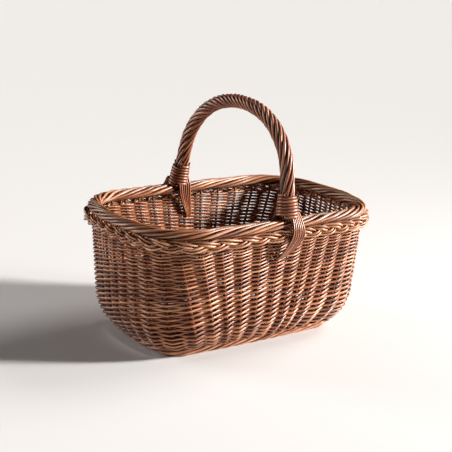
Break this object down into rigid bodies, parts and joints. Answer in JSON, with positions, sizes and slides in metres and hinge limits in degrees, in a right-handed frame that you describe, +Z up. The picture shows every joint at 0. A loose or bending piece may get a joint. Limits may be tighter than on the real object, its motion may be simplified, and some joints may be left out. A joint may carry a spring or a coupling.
{
  "type": "woven willow market basket",
  "caption": "Oblong woven willow market basket with bellied sides, a rolled and plaited rim and a fixed roped bow handle across the middle.",
  "frame": {"origin": "centre of the footprint on the surface the basket stands on", "axes": "+X along the basket's length, +Y across its width under the handle, +Z up"},
  "size_m": [0.4506, 0.3094, 0.3758],
  "materials": {
    "woven_willow": "satin",
    "border_willow": "satin",
    "handle_willow": "gloss",
    "stake_willow": "satin",
    "base_willow": "satin"
  },
  "bodies": {
    "root": {"base_weave": "base_willow", "foot_border": "woven_willow", "siding": "woven_willow", "border_roll": "border_willow", "border_plait": "border_willow", "handle_bow": "handle_willow", "handle_rope": "handle_willow", "binding_front": "handle_willow", "binding_back": "handle_willow", "tail_front_outer": "handle_willow", "tail_front_inner": "handle_willow", "tail_back_outer": "handle_willow", "tail_back_inner": "handle_willow", "base_stick_1": "stake_willow", "base_stick_2": "stake_willow", "base_stick_3": "stake_willow", "base_stick_4": "stake_willow", "base_stick_5": "stake_willow", "stake_front_1": "stake_willow", "stake_front_2": "stake_willow", "stake_front_3": "stake_willow", "stake_front_4": "stake_willow", "stake_front_5": "stake_willow", "stake_front_6": "stake_willow", "stake_front_7": "stake_willow", "stake_front_8": "stake_willow", "stake_front_9": "stake_willow", "stake_front_10": "stake_willow", "stake_front_11": "stake_willow", "stake_back_1": "stake_willow", "stake_back_2": "stake_willow", "stake_back_3": "stake_willow", "stake_back_4": "stake_willow", "stake_back_5": "stake_willow", "stake_back_6": "stake_willow", "stake_back_7": "stake_willow", "stake_back_8": "stake_willow", "stake_back_9": "stake_willow", "stake_back_10": "stake_willow", "stake_back_11": "stake_willow", "stake_right_1": "stake_willow", "stake_right_2": "stake_willow", "stake_right_3": "stake_willow", "stake_right_4": "stake_willow", "stake_right_5": "stake_willow", "stake_right_6": "stake_willow", "stake_right_7": "stake_willow", "stake_right_8": "stake_willow", "stake_left_1": "stake_willow", "stake_left_2": "stake_willow", "stake_left_3": "stake_willow", "stake_left_4": "stake_willow", "stake_left_5": "stake_willow", "stake_left_6": "stake_willow", "stake_left_7": "stake_willow", "stake_left_8": "stake_willow", "stake_corner_front_left": "stake_willow", "stake_corner_front_right": "stake_willow", "stake_corner_back_right": "stake_willow", "stake_corner_back_left": "stake_willow"}
  },
  "joints": []
}
